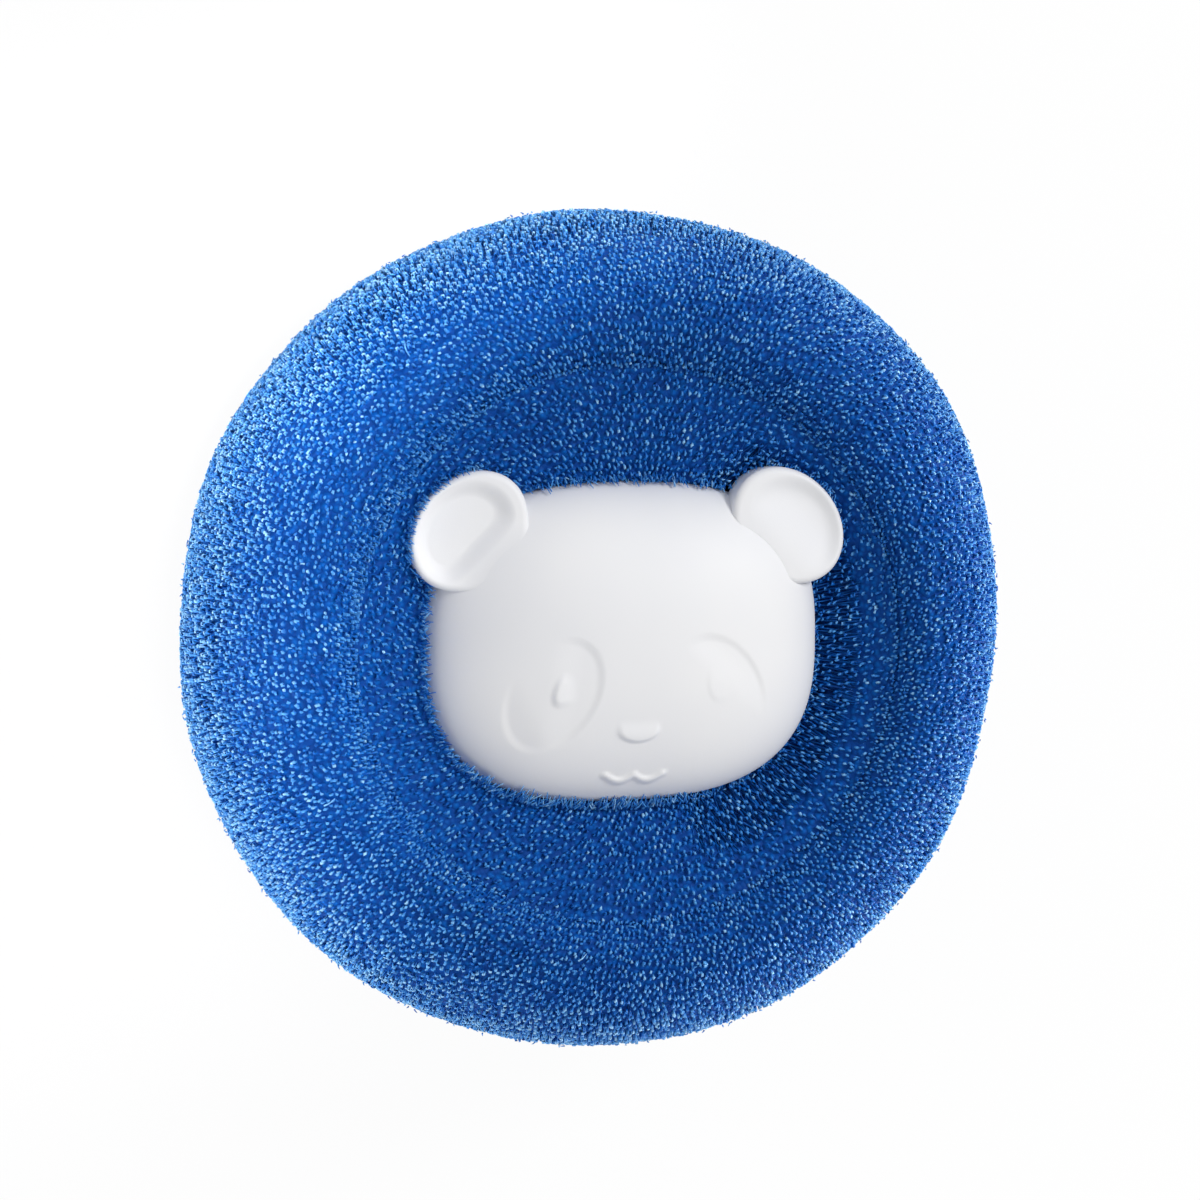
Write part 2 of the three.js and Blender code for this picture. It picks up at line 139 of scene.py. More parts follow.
def colour_steps(nodes, steps):
    """Colour ramp through the given (place, colour) steps."""
    ramp = nodes.new("ShaderNodeValToRGB")
    for i, (place, colour) in enumerate(steps):
        mark = ramp.color_ramp.elements[i] if i < 2 else ramp.color_ramp.elements.new(place)
        mark.position = place
        mark.color = (*colour, 1)
    return ramp


def shaded_loops():
    """Nylon loops of the inner layers: raised cells of the size of a stitch, with painted shade in deeper
    blue between them.
    """
    material = bpy.data.materials.new("shaded_nylon_loops")
    material.use_nodes = True
    nodes, links = material.node_tree.nodes, material.node_tree.links
    shader = nodes["Principled BSDF"]
    place = nodes.new("ShaderNodeTexCoord")
    cells = nodes.new("ShaderNodeTexVoronoi")
    cells.inputs["Scale"].default_value = 1300
    links.new(place.outputs["Object"], cells.inputs["Vector"])
    # Painted shade: the colour grows deeper blue towards the edges of each cell.
    ramp = colour_steps(nodes, [(0.1, (0.002, 0.126, 0.52)), (0.6, (0.001, 0.054, 0.29))])
    links.new(cells.outputs["Distance"], ramp.inputs["Fac"])
    links.new(ramp.outputs["Color"], shader.inputs["Base Color"])
    raised = nodes.new("ShaderNodeBump")
    raised.invert = True
    raised.inputs["Strength"].default_value = 0.8
    raised.inputs["Distance"].default_value = 0.0005
    links.new(cells.outputs["Distance"], raised.inputs["Height"])
    links.new(raised.outputs["Normal"], shader.inputs["Normal"])
    shader.inputs["Roughness"].default_value = 0.6
    shader.inputs["Specular IOR Level"].default_value = 0.1
    return material


def make_inner_wraps():
    """Outside of the ring moved in along its normals, most at its widest, and closed by neck and bowl."""
    outside = evenly(ring_outside(), 120)
    ahead = np.gradient(outside, axis=0)
    ahead /= np.linalg.norm(ahead, axis=1)[:, None]
    depth = WRAP_DEPTH + (RIM_DEPTH - WRAP_DEPTH) * smooth(outside[:, :1], 45.5, 49)
    outside = outside + depth * np.stack([ahead[:, 1], -ahead[:, 0]], -1)
    bowl = rounded(NECK[-1], BOWL_CORNER, BOWL_TOP, steps=20)
    loop = np.concatenate([outside, evenly(np.array(NECK), 20), bowl[1:], [UNDER_SEAM]])
    phi = np.linspace(0, 2 * np.pi, 240, endpoint=False)[:, None]
    points = turned(loop[None, :, 0], np.maximum(loop[None, :, 1], 0.3), phi)
    faces = grid_quads(240, len(loop))
    return make_piece("inner_wraps", points.reshape(-1, 3), [faces], shaded_loops(), "ring")


inner_wraps = make_inner_wraps()
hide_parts("mesh_roll")

# Outer sleeve of knitted mesh
# The tube is weft-knitted from one shiny flat nylon filament a course, with its bumpy side out.
# Each course runs once round the ring; heads and feet of its loops stand up as a staggered lattice of bumps.
SLEEVE_WALES = 300
SLEEVE_COURSES = 76
BUMP_POINTS = (-52, -19, 19, 52)
BUMP_HEIGHT = 0.25
BUMP_DIVE = 1.3
BUMP_HALF = 0.18
BUMP_WIDTH = 1.05
BUMP_SWING = 0.75
SLANT_ONE, SLANT_TWO = 62, 120
STITCH_UNEVEN, STITCH_SWAY = 0.9, 0.7
RUN_UNEVEN, RUN_SWAY = 0.17, 0.12
HEIGHT_UNEVEN = 0.07
FILAMENT_FLAT, FILAMENT_ON_EDGE = 0.2, 0.09
FILAMENT_THICK = 0.55
# Tones of the filament: painted shade on the legs, painted highlight on the bumps, painted sheen on the
# outside of the ring.
TONE_LEG_SHADE, TONE_TOP_HIGHLIGHT, TONE_RIM_SHEEN = 0.15, 0.51, 0.23
TONE_UNEVEN, TONE_CLOUDY = 0.16, 0.04
SHORT_TIPS, LONG_TIPS = 1800, 30
TIP_ROOT, TIP_END = 0.12, 0.05


def facing(surface, phi, s):
    """Unit normal of a surface of (angle, run): the cross product of its two slopes."""
    small = 1e-3
    along = surface(phi, s + small) - surface(phi, s - small)
    around = surface(phi + small, s) - surface(phi - small, s)
    normal = np.cross(along, around)
    return normal / np.linalg.norm(normal, axis=-1, keepdims=True)


def wander(draw, courses, count):
    """Slow sway of each course along its length: six waves a course, each with its own count and start."""
    waves = draw.integers(6, 60, size=(courses, 6, 1))
    start = draw.uniform(0, 2 * np.pi, size=(courses, 6, 1))
    around = 2 * np.pi * np.arange(count) / count
    return np.cos(waves * around + start).sum(1) / np.sqrt(3)


def slant(phi, uneven):
    """Angle in radians of a bump to its course; the rolled tube twists them one way on each half of it."""
    degrees = np.degrees(phi) % 360
    one_half = np.abs(degrees + 8 * uneven - 150) < 82
    angle = np.where(one_half, SLANT_ONE, SLANT_TWO) - degrees + 14 * uneven
    return np.radians(angle % 180 - 90)


def knit(surface, runs, wales, seed):
    """Courses of loops on a surface of (angle, run in mm), each a closed three-sided filament.

    With t turning once a stitch, the filament goes on round the ring by t, up and down the wale by minus
    cos t, flattened at its ends, and dives by the square of sin t. So the heads and feet of the loops stand
    up as bumps of four points each, stretched by sin 2t along their slant, and the legs between them lie
    under the inner wraps. The tone is palest on the bumps, as a painted highlight, and deepest on the legs,
    as painted shade. It varies from one to the next and in slow clouds, and the outside of the ring is
    painted paler as a sheen on its rim.
    """
    draw = np.random.default_rng(seed)
    courses, bumps = len(runs), 2 * wales
    count = bumps * len(BUMP_POINTS)
    pitch = abs(runs[1] - runs[0])
    t = (np.pi * np.arange(bumps)[:, None] + np.radians(BUMP_POINTS)).reshape(1, count)
    uneven = np.repeat(draw.normal(size=(6, courses, bumps)), len(BUMP_POINTS), axis=-1)
    drift = np.cumsum(draw.normal(scale=STITCH_SWAY, size=(courses, 1)), 0)
    drift = drift + STITCH_SWAY * wander(draw, courses, count)
    bump = np.pi * np.round(t / np.pi)
    middle = (bump + drift + STITCH_UNEVEN * uneven[0]) / wales
    lean = slant(middle, uneven[1])
    phi = middle + (t - bump + (BUMP_WIDTH * np.cos(lean) ** 2 - 0.5) * np.sin(2 * t)) / wales
    swing = np.cos(t) * (1.5 - 0.5 * np.cos(t) ** 2)
    s = runs[:, None] - BUMP_SWING * pitch * swing + BUMP_HALF * np.sin(lean) * np.sin(2 * t)
    s = s + RUN_UNEVEN * uneven[2] + RUN_SWAY * wander(draw, courses, count)
    s = np.clip(s, runs.min() - 0.9, runs.max() + 0.5)
    out = BUMP_HEIGHT - BUMP_DIVE * np.sin(t) ** 2 + HEIGHT_UNEVEN * uneven[3]
    normal = facing(surface, phi, s)
    line = surface(phi, s) + out[..., None] * normal
    ahead = np.roll(line, -1, 1) - np.roll(line, 1, 1)
    ahead /= np.linalg.norm(ahead, axis=-1, keepdims=True)
    side = np.cross(ahead, normal)
    side /= np.linalg.norm(side, axis=-1, keepdims=True)
    up = np.cross(side, ahead)
    roll = np.pi * np.array([0.5, 7 / 6, 11 / 6]) + 0.6 * uneven[4][..., None]
    top = np.cos(t) ** 2
    flat = (FILAMENT_ON_EDGE + (FILAMENT_FLAT - FILAMENT_ON_EDGE) * top)[..., None]
    wide = (flat * np.cos(roll))[..., None]
    thick = (FILAMENT_THICK * flat * np.sin(roll))[..., None]
    points = line[:, :, None] + wide * side[:, :, None] + thick * up[:, :, None]
    points[..., 2] = np.maximum(points[..., 2], 0.02)
    # Painted sheen: the tone grows paler towards the outside of the ring.
    rim_sheen = TONE_RIM_SHEEN * smooth(np.hypot(line[..., 0], line[..., 1]), 36, 49)
    cloudy = np.cos(23 * phi + 0.6 * s) + np.cos(31 * phi - 0.45 * s + 2.1)
    cloudy = cloudy + np.cos(17 * phi + 0.9 * s + 4.4)
    # Painted shade on the legs and a painted highlight on the tops of the bumps, plus the random tone of
    # each stitch.
    tone = TONE_LEG_SHADE + (TONE_TOP_HIGHLIGHT + TONE_UNEVEN * uneven[5] + TONE_CLOUDY * cloudy + rim_sheen) * top
    tone = np.repeat(np.clip(tone, 0, 1).ravel(), 3)
    quads = grid_quads(count, 3)[None] + (np.arange(courses) * count * 3)[:, None, None]
    return points.reshape(-1, 3), quads.reshape(-1, 4)[:, ::-1], strip_map(courses, count), tone


def strip_map(courses, count):
    """Map of a set of filaments: one level strip a course, its length across and its three sides up."""
    n = np.arange(count)[None, :, None, None]
    j = np.arange(3)[None, None, :, None]
    k = np.arange(courses)[:, None, None, None]
    u = (n + np.array([1, 1, 0, 0])) / count
    v = (k + 0.08 + 0.84 * (j + np.array([0, 1, 1, 0])) / 3) / courses
    return np.stack(np.broadcast_arrays(u, v), -1)


def nylon_filament():
    """Shiny dyed nylon: the tone of each stitch picks its colour, from deep to pale blue. The deep end
    carries the painted shade of the legs, and the pale end the painted highlights of the bumps and the
    painted sheen of the rim.
    """
    material = bpy.data.materials.new("blue_nylon_filament")
    material.use_nodes = True
    nodes, links = material.node_tree.nodes, material.node_tree.links
    shader = nodes["Principled BSDF"]
    tone = nodes.new("ShaderNodeAttribute")
    tone.attribute_name = "tone"
    deep, plain = (0.001, 0.05, 0.30), (0.003, 0.142, 0.57)
    light, pale = (0.075, 0.335, 0.78), (0.30, 0.60, 0.92)
    ramp = colour_steps(nodes, [(0.1, deep), (1.0, pale), (0.45, plain), (0.75, light)])
    links.new(tone.outputs["Fac"], ramp.inputs["Fac"])
    links.new(ramp.outputs["Color"], shader.inputs["Base Color"])
    shader.inputs["Roughness"].default_value = 0.45
    shader.inputs["Specular IOR Level"].default_value = 0.25
    return material


fold_under = np.array(SEAM) - 0.5 * (np.array(SEAM_CORNER) - np.array(SEAM))
sleeve_path = evenly(np.concatenate([[fold_under], ring_outside()]), 600)
sleeve_length = np.linalg.norm(np.diff(sleeve_path, axis=0), axis=1).sum()
sleeve_run = np.linspace(0, sleeve_length, 600)


def sleeve_skin(phi, s):
    """Outside of the ring at an angle and a run along its section, made uneven by three slow waves."""
    radius = np.interp(s, sleeve_run, sleeve_path[:, 0])
    z = np.interp(s, sleeve_run, sleeve_path[:, 1])
    lumps = np.cos(5 * phi + 0.11 * s) + np.cos(7 * phi - 0.17 * s + 1.3) + np.cos(11 * phi + 0.09 * s + 4.1)
    radius = radius + 0.1 * lumps * smooth(s, 6, 16)
    return turned(radius, z, phi)


def make_sleeve(material):
    """Courses at even runs from the seam in the bowl to the dimple behind."""
    runs = np.linspace(1.0, sleeve_length - 0.6, SLEEVE_COURSES)
    points, quads, uv, tone = knit(sleeve_skin, runs, SLEEVE_WALES, seed=11)
    return make_piece("mesh_sleeve_knit", points, [quads], material, "ring", uv, tone)


def loose_ends(roots, ways, bends, lengths, tones):
    """Tapered three-sided tips: from its root each runs along its way and curves off along its bend."""
    u = np.linspace(0, 1, 4)[None, :, None]
    lengths = lengths[:, None, None]
    line = roots[:, None] + lengths * (u * ways[:, None] + u**2 * bends[:, None])
    side = np.cross(ways, bends + 1e-4)[:, None]
    side /= np.linalg.norm(side, axis=-1, keepdims=True)
    up = np.cross(ways[:, None], side)
    turn = np.pi * np.array([0.5, 7 / 6, 11 / 6])[None, None, :, None]
    thick = (TIP_ROOT + (TIP_END - TIP_ROOT) * u)[..., None]
    points = line[:, :, None] + thick * (np.cos(turn) * side[:, :, None] + np.sin(turn) * up[:, :, None])
    points[..., 2] = np.maximum(points[..., 2], 0.02)
    count = len(roots)
    ring = grid_quads(4, 3, close_rows=False)
    caps = np.array([(2, 1, 0), (9, 10, 11)])
    first = 12 * np.arange(count)[:, None, None]
    quads, fans = (ring[None] + first).reshape(-1, 4), (caps[None] + first).reshape(-1, 3)
    return points.reshape(-1, 3), [quads, fans], tip_map(count), np.repeat(tones, 12)


def tip_map(count):
    """Map of the tips: a square grid of cells, each with a tip's sides above and its two ends below."""
    across = int(np.ceil(np.sqrt(count)))
    cell = np.stack([np.arange(count) % across, np.arange(count) // across], -1)[:, None, None]
    row, column = [n.ravel()[:, None] for n in np.mgrid[0:3, 0:3]]
    u = (column + np.array([0, 1, 1, 0])) / 3
    v = 0.3 + 0.7 * (row + np.array([0, 0, 1, 1])) / 3
    sides = 0.05 + 0.9 * np.stack([u, v], -1)
    ends = np.array([[(0.05, 0.05), (0.45, 0.05), (0.25, 0.25)], [(0.55, 0.05), (0.95, 0.05), (0.75, 0.25)]])
    whole = [(cell + part[None]).reshape(-1, 2) / across for part in (sides, ends)]
    return np.concatenate(whole)


def make_sleeve_tips(material):
    """Broken filaments all over the sleeve: short ones stand up as fuzz, and a few long ones lie flat."""
    draw = np.random.default_rng(37)
    count = SHORT_TIPS + LONG_TIPS
    phi = draw.uniform(0, 2 * np.pi, count)
    s = draw.uniform(2, sleeve_length - 2, count)
    normal = facing(sleeve_skin, phi, s)
    lying = draw.normal(size=(count, 3))
    lying -= (lying * normal).sum(1, keepdims=True) * normal
    lying /= np.linalg.norm(lying, axis=1, keepdims=True)
    short = np.arange(count) < SHORT_TIPS
    stand = np.where(short, draw.uniform(0.2, 0.9, count), 0.12)[:, None]
    ways = stand * normal + np.sqrt(1 - stand**2) * lying
    bends = 0.3 * np.cross(normal, lying) - 0.15 * normal
    lengths = np.where(short, draw.uniform(0.25, 0.55, count), draw.uniform(1.0, 1.8, count))
    tones = np.clip(draw.normal(0.65, 0.15, count), 0, 1)
    roots = sleeve_skin(phi, s) + 0.3 * normal
    points, faces, uv, tone = loose_ends(roots, ways, bends, lengths, tones)
    return make_piece("sleeve_loose_ends", points, faces, material, "ring", uv, tone)


blue_nylon = nylon_filament()
sleeve = make_sleeve(blue_nylon)
sleeve_tips = make_sleeve_tips(blue_nylon)
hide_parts("mesh_sleeve")

# Face of the bear head
# One satin white polypropylene moulding, domed like a pillow, with two dished ears on its upper edge.
# The eye patches are sunk, and the eyes, nose and mouth stand up.
HEAD_X, HEAD_Y, HEAD_Z = 23.2, 18.3, 37.5
HEAD_SQUARE, HEAD_BULGE, DOME_EDGE = 2.7, 8.5, 2.2
SHELL_WALL, SHELL_SKIRT = 1.8, 1.2
EAR_X, EAR_Y, EAR_Z = 18.6, 13.2, 40.1
EAR_RADIUS, EAR_STRETCH, EAR_HALF, EAR_ROUND = 5.9, 1.25, 2.2, 0.7
EAR_TURN = 45
EAR_DISH = 0.9
EAR_FLANK = {-1: (3.0, 1.8), 1: (2.0, 0.6)}
EAR_BLEND = {-1: 0.9, 1: 0.3}
EAR_CREASE = {-1: 0.0, 1: 0.12}
EAR_BACK = ((5.9, -1.2), (5.6, -1.9), (4.9, -2.2), (0.4, -2.2))
PATCH_X, PATCH_Y, PATCH_SLANT = 9.8, -5.1, 58
PATCH_HALF = (6.9, 4.8)
PATCH_WALLS = {-1: ((-8, -1.0, 3.0, 0.28), (205, 2.5, 6.0, 0.19)), 1: ((50, 0.5, 4.0, 0.24),)}
EYE_X, EYE_Y = 9.0, -4.9
EYE_HEIGHT = {-1: 0.4, 1: 0.1}
NOSE_X, NOSE_Y, NOSE_HEIGHT = 2.6, -9.2, 0.42
MOUTH_X, MOUTH_Y, MOUTH_DIP, MOUTH_HEIGHT = 3.3, -14.6, 0.8, 0.36


def oval(dx, dy, half, tilt):
    """Distance from the middle of a tilted oval, in shares of its half-axes."""
    c, s = np.cos(np.radians(tilt)), np.sin(np.radians(tilt))
    return np.hypot((dx * c + dy * s) / half[0], (dy * c - dx * s) / half[1])


def face_relief(x, y):
    """Height of the features over the dome: patches sunk towards a part of their walls, the rest raised.

    Each patch wall has the direction that it lies in, the start and end of its ramp, and its depth. The
    eyes are ovals that stand up at their lower left and fade into the patch at their upper right. The nose
    is the lower part of an oval, and the mouth a ridge along two half waves of a sine.
    """
    height = np.zeros_like(x)
    for side in (-1, 1):
        dx, dy = x - side * PATCH_X, y - PATCH_Y
        patch = oval(dx, dy, PATCH_HALF, -side * PATCH_SLANT)
        for towards, start, end, depth in PATCH_WALLS[side]:
            floor = smooth(dx * np.cos(np.radians(towards)) + dy * np.sin(np.radians(towards)), start, end)
            height -= depth * floor * (1 - smooth(patch, 0.88, 1.06))
        up = y - EYE_Y
        across = x - side * EYE_X + 0.2 * side * up
        eye = np.hypot(across / np.where(across < 0, 1.1, 2.6), up / np.where(up < 0, 1.6, 2.4))
        fade = smooth(0.95 * across + 0.3 * up, -0.9, 2.0)
        height += EYE_HEIGHT[side] * (1 - smooth(eye, 0.45, 1.1)) * (1 - fade)
    nose = np.hypot(x / NOSE_X, (y - NOSE_Y) / np.where(y > NOSE_Y, 5.0, 1.6))
    height += NOSE_HEIGHT * (1 - smooth(nose, 0.74, 1.04)) * (1 - smooth(y - NOSE_Y, -1.0, 1.2))
    dip = MOUTH_Y - MOUTH_DIP * np.abs(np.sin(np.pi * np.clip(x, -MOUTH_X, MOUTH_X) / MOUTH_X))
    reach = np.hypot(np.maximum(np.abs(x) - MOUTH_X, 0), y - dip)
    height += MOUTH_HEIGHT * (1 - smooth(reach, 0.08, 0.66))
    return height


def dome_height(x, y):
    """Height of the pillow over its plan: flat in the middle, and ever steeper to its squarish outline."""
    share = (np.abs(x / HEAD_X) ** HEAD_SQUARE + np.abs(y / HEAD_Y) ** HEAD_SQUARE) ** (1 / HEAD_SQUARE)
    return HEAD_Z + HEAD_BULGE * np.sqrt(np.clip(1 - share**DOME_EDGE, 0, 1))


def head_shell():
    """Closed shell: the dome from its top to its edge, a short skirt, and back along the inner wall."""
    count = 360
    phi = np.linspace(0, 2 * np.pi, count, endpoint=False)[None, :]
    squarish = np.abs(np.cos(phi)) ** HEAD_SQUARE + np.abs(np.sin(phi)) ** HEAD_SQUARE
    reach = 1 / squarish ** (1 / HEAD_SQUARE)
    share = np.sin(np.linspace(0.002, 0.5 * np.pi, 170))[:, None]
    x, y = HEAD_X * share * reach * np.cos(phi), HEAD_Y * share * reach * np.sin(phi)
    outer = np.stack([x, y, dome_height(x, y) + face_relief(x, y)], -1)
    skirt = outer[-1:] - np.array([0, 0, SHELL_SKIRT])
    shrink = np.array([1 - SHELL_WALL / HEAD_X, 1 - SHELL_WALL / HEAD_Y, 1])
    inner_z = HEAD_Z + (HEAD_BULGE - SHELL_WALL) * np.sqrt(np.clip(1 - share**DOME_EDGE, 0, 1))
    inner = np.stack([x, y, inner_z + 0 * x], -1) * shrink
    inner_skirt = inner[-1:] - np.array([0, 0, SHELL_SKIRT])
    rows = np.concatenate([outer, skirt, inner_skirt, inner[::-6]])
    poles = np.stack([rows[0].mean(0), rows[-1].mean(0)])
    return closed_rows(rows, poles)


def closed_rows(rows, poles):
    """Points and faces of a stack of closed rows whose first and last rows are drawn in to a pole each."""
    height, count = rows.shape[:2]
    points = np.concatenate([rows.reshape(-1, 3), poles])
    around = np.arange(count)
    last = (height - 1) * count
    first_fan = np.stack([np.full(count, height * count), around, (around + 1) % count], -1)
    last_fan = np.stack([np.full(count, height * count + 1), last + (around + 1) % count, last + around], -1)
    quads = grid_quads(height, count, close_rows=False)[:, ::-1]
    return points, quads, np.concatenate([first_fan, last_fan])


def ear_shell(side):
    """Oval disc with a round edge. Its front is sunk inside a rim, cut off straight beside the head.

    The dish is a smooth step across the outline of an oval cut by a chord, so its rim is broad beside the
    head. The front is the higher of the dished disc and a surface just under the dome. A short fillet, and
    on the right ear a fine crease, follow the line where the two meet.
    """
    turn = np.linspace(0, 0.5 * np.pi, 14)
    rim = EAR_RADIUS - EAR_ROUND
    front = np.stack([np.linspace(0.05, rim, 60), np.full(60, EAR_HALF)], -1)
    edge = np.stack([rim + EAR_ROUND * np.sin(turn), EAR_HALF - EAR_ROUND * (1 - np.cos(turn))], -1)
    profile = np.concatenate([front, edge[1:], EAR_BACK])
    phi = np.linspace(0, 2 * np.pi, 160, endpoint=False)[None, :]
    reach, height = profile[:, :1], profile[:, 1:]
    outward, along = reach * np.cos(phi), EAR_STRETCH * reach * np.sin(phi)
    c, s = side * np.cos(np.radians(EAR_TURN)), np.sin(np.radians(EAR_TURN))
    x, y = side * EAR_X + c * outward - s * along, EAR_Y + s * outward + c * along
    past_oval = 5.6 * (np.hypot((outward - 0.2) / 5.3, (side * along + 0.6) / 6.2) - 1)
    chord, steepness = EAR_FLANK[side]
    off_dish = np.logaddexp(2 * past_oval, -steepness * (outward + chord)) / 2
    disc = EAR_Z + height - EAR_DISH * (1 - smooth(off_dish, -1.7, 0.3))
    dome = dome_height(x, y) - 0.05
    fillet = np.maximum(EAR_BLEND[side] - np.abs(disc - dome), 0) ** 2 / (4 * EAR_BLEND[side])
    blended = np.maximum(disc, dome) + fillet
    blended = blended - EAR_CREASE[side] * np.exp(-(((disc - dome) / 0.12) ** 2))
    on_front = np.arange(len(profile))[:, None] < len(front) + len(edge) - 1
    z = np.where(on_front, blended, EAR_Z + height)
    rows = np.stack([x, y, z], -1)
    poles = np.stack([rows[0].mean(0), rows[-1].mean(0)])
    return closed_rows(rows, poles)


def white_plastic():
    """Satin moulded polypropylene: a faint cloudiness in its white, and a fine spark-eroded grain."""
    material = bpy.data.materials.new("satin_white_plastic")
    material.use_nodes = True
    nodes, links = material.node_tree.nodes, material.node_tree.links
    shader = nodes["Principled BSDF"]
    place = nodes.new("ShaderNodeTexCoord")
    clouds = nodes.new("ShaderNodeTexNoise")
    clouds.inputs["Scale"].default_value = 60
    links.new(place.outputs["Object"], clouds.inputs["Vector"])
    ramp = colour_steps(nodes, [(0.3, (0.80, 0.805, 0.83)), (0.7, (0.84, 0.84, 0.85))])
    links.new(clouds.outputs["Fac"], ramp.inputs["Fac"])
    links.new(ramp.outputs["Color"], shader.inputs["Base Color"])
    grain = nodes.new("ShaderNodeTexNoise")
    grain.inputs["Scale"].default_value = 5000
    links.new(place.outputs["Object"], grain.inputs["Vector"])
    raised = nodes.new("ShaderNodeBump")
    raised.inputs["Strength"].default_value = 0.06
    raised.inputs["Distance"].default_value = 0.0001
    links.new(grain.outputs["Fac"], raised.inputs["Height"])
    links.new(raised.outputs["Normal"], shader.inputs["Normal"])
    shader.inputs["Roughness"].default_value = 0.55
    return material


def make_face(material):
    """Head shell and both ears as one moulding."""
    points, quads, fans = [], [], []
    start = 0
    for shell in (head_shell(), ear_shell(-1), ear_shell(1)):
        points.append(shell[0])
        quads.append(shell[1] + start)
        fans.append(shell[2] + start)
        start += len(shell[0])
    faces = [np.concatenate(quads), np.concatenate(fans)]
    return make_piece("bear_face", np.concatenate(points), faces, material, "float")


satin_white = white_plastic()
bear_face = make_face(satin_white)
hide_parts("face_shell")

# Back of the head, and the threads at the waist
# The back half of the float is moulded in the same plastic, with the waist that passes through the ring.
# Two turns of blue polyester thread draw the ends of the tube tight round it.
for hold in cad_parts["head_back"].material_slots:
    hold.material = satin_white


def tie_thread():
    """Twisted polyester thread: slanting plies, with painted shade between them and a painted highlight on
    their tops.
    """
    material = bpy.data.materials.new("blue_tie_thread")
    material.use_nodes = True
    nodes, links = material.node_tree.nodes, material.node_tree.links
    shader = nodes["Principled BSDF"]
    place = nodes.new("ShaderNodeTexCoord")
    plies = nodes.new("ShaderNodeTexWave")
    plies.bands_direction = "DIAGONAL"
    plies.inputs["Scale"].default_value = 700
    plies.inputs["Distortion"].default_value = 1.0
    links.new(place.outputs["Object"], plies.inputs["Vector"])
    ramp = colour_steps(nodes, [(0.2, (0.003, 0.03, 0.13)), (0.8, (0.01, 0.09, 0.33))])
    links.new(plies.outputs["Fac"], ramp.inputs["Fac"])
    links.new(ramp.outputs["Color"], shader.inputs["Base Color"])
    shader.inputs["Roughness"].default_value = 0.6
    return material


blue_thread = tie_thread()
for tie in ("front_tie", "rear_tie"):
    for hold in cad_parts[tie].material_slots:
        hold.material = blue_thread

# Gathered collar of the mesh
# The front end of the same knitted tube is gathered round the head: it slopes into the bowl and hugs it.
# It grips the head, so it turns with the float; it meets the ring in a fold that follows a course.
COLLAR_WALES = 196
COLLAR_COURSES = 14
COLLAR_REACH = 17.0
COLLAR_LOW = (17.0, 38.6)
COLLAR_DROP = 3.6
HUG = 0.15
TUCK = 3.0
BACKING_DEPTH, BACKING_DROP, BACKING_THICK = 0.4, 1.8, 2.0
BACKING_OVERLAP = 0.45
COLLAR_TIPS = 1000
CHEEK_TIPS, CHIN_TIPS = 0.17, 0.12


def head_outline(phi):
    """Distance from the axis to the outline of head and ears, with its corners eased over a few degrees."""
    around = np.linspace(-np.pi, np.pi, 1441)
    c, s = np.abs(np.cos(around)) / HEAD_X, np.abs(np.sin(around)) / HEAD_Y
    reach = (c**HEAD_SQUARE + s**HEAD_SQUARE) ** (-1 / HEAD_SQUARE)
    axis, half = np.radians(EAR_TURN), np.array([EAR_RADIUS, EAR_STRETCH * EAR_RADIUS])
    frame_of_ear = np.array([(np.cos(axis), np.sin(axis)), (-np.sin(axis), np.cos(axis))]) / half[:, None]
    centre = frame_of_ear @ np.array([EAR_X, EAR_Y])
    for side in (-1, 1):
        ray = frame_of_ear @ np.stack([side * np.cos(around), np.sin(around)])
        length, towards = (ray**2).sum(0), centre @ ray
        inside = towards**2 - length * (centre @ centre - 1)
        ear = (towards + np.sqrt(np.maximum(inside, 0))) / length
        reach = np.where((inside > 0) & (towards > 0), np.maximum(reach, ear), reach)
    weight = np.hanning(15)
    eased = np.convolve(np.pad(reach[:-1], 7, mode="wrap"), weight / weight.sum(), mode="valid")
    return np.interp((phi + np.pi) % (2 * np.pi) - np.pi, around, np.append(eased, eased[0]))


def loose(phi):
    """Share by which the gathers hang loose: fully beside the right cheek, and not on the other side."""
    return smooth(np.cos(phi + 0.1), 0.3, 0.95)


def collar_skin(phi, s):
    """From the seam at run 0 the cloth slopes in to the head's outline, then tucks in along its side.

    Runs go down inwards. The height over the lowest place is a power of the share of the way to the seam.
    """
    edge = head_outline(phi) + HUG
    inward = -s
    slope = SEAM[0] - edge
    tucked = np.maximum(inward - slope, 0)
    radius = SEAM[0] - np.minimum(inward, slope) + 0 * phi
    deep = loose(phi)
    fall = np.clip((radius - COLLAR_LOW[0]) / (SEAM[0] - COLLAR_LOW[0]), 0, 2) ** (1.3 + 0.6 * deep)
    low = COLLAR_LOW[1] - COLLAR_DROP * deep
    z = low + (SEAM[1] - low) * fall - TUCK * (1 - np.exp(-tucked / TUCK))
    radius = radius - 0.12 * (1 - np.exp(-tucked))
    return np.stack([radius * np.cos(phi), radius * np.sin(phi), z], -1)


def make_collar(material):
    """Courses from the tucked edge out to the seam."""
    runs = np.linspace(-COLLAR_REACH, -0.5, COLLAR_COURSES)
    points, quads, uv, tone = knit(collar_skin, runs, COLLAR_WALES, seed=23)
    return make_piece("mesh_collar_knit", points, [quads], material, "float", uv, tone)


def make_collar_backing(material):
    """Closed shell of the layers under the collar: its slope moved down, then back along a deeper one."""
    phi = np.linspace(0, 2 * np.pi, 360, endpoint=False)[:, None]
    run = np.linspace(-COLLAR_REACH, BACKING_OVERLAP, 40)[None, :]
    skin = collar_skin(phi, run)
    depth = BACKING_DEPTH + BACKING_DROP * loose(phi) * smooth(-run, 2, 7)
    upper = skin - depth[..., None] * np.array([0, 0, 1])
    lower = upper - np.array([0, 0, BACKING_THICK])
    points = np.concatenate([upper, lower[:, ::-1]], 1)
    faces = grid_quads(360, 80)
    return make_piece("collar_backing", points.reshape(-1, 3), [faces], material, "float")


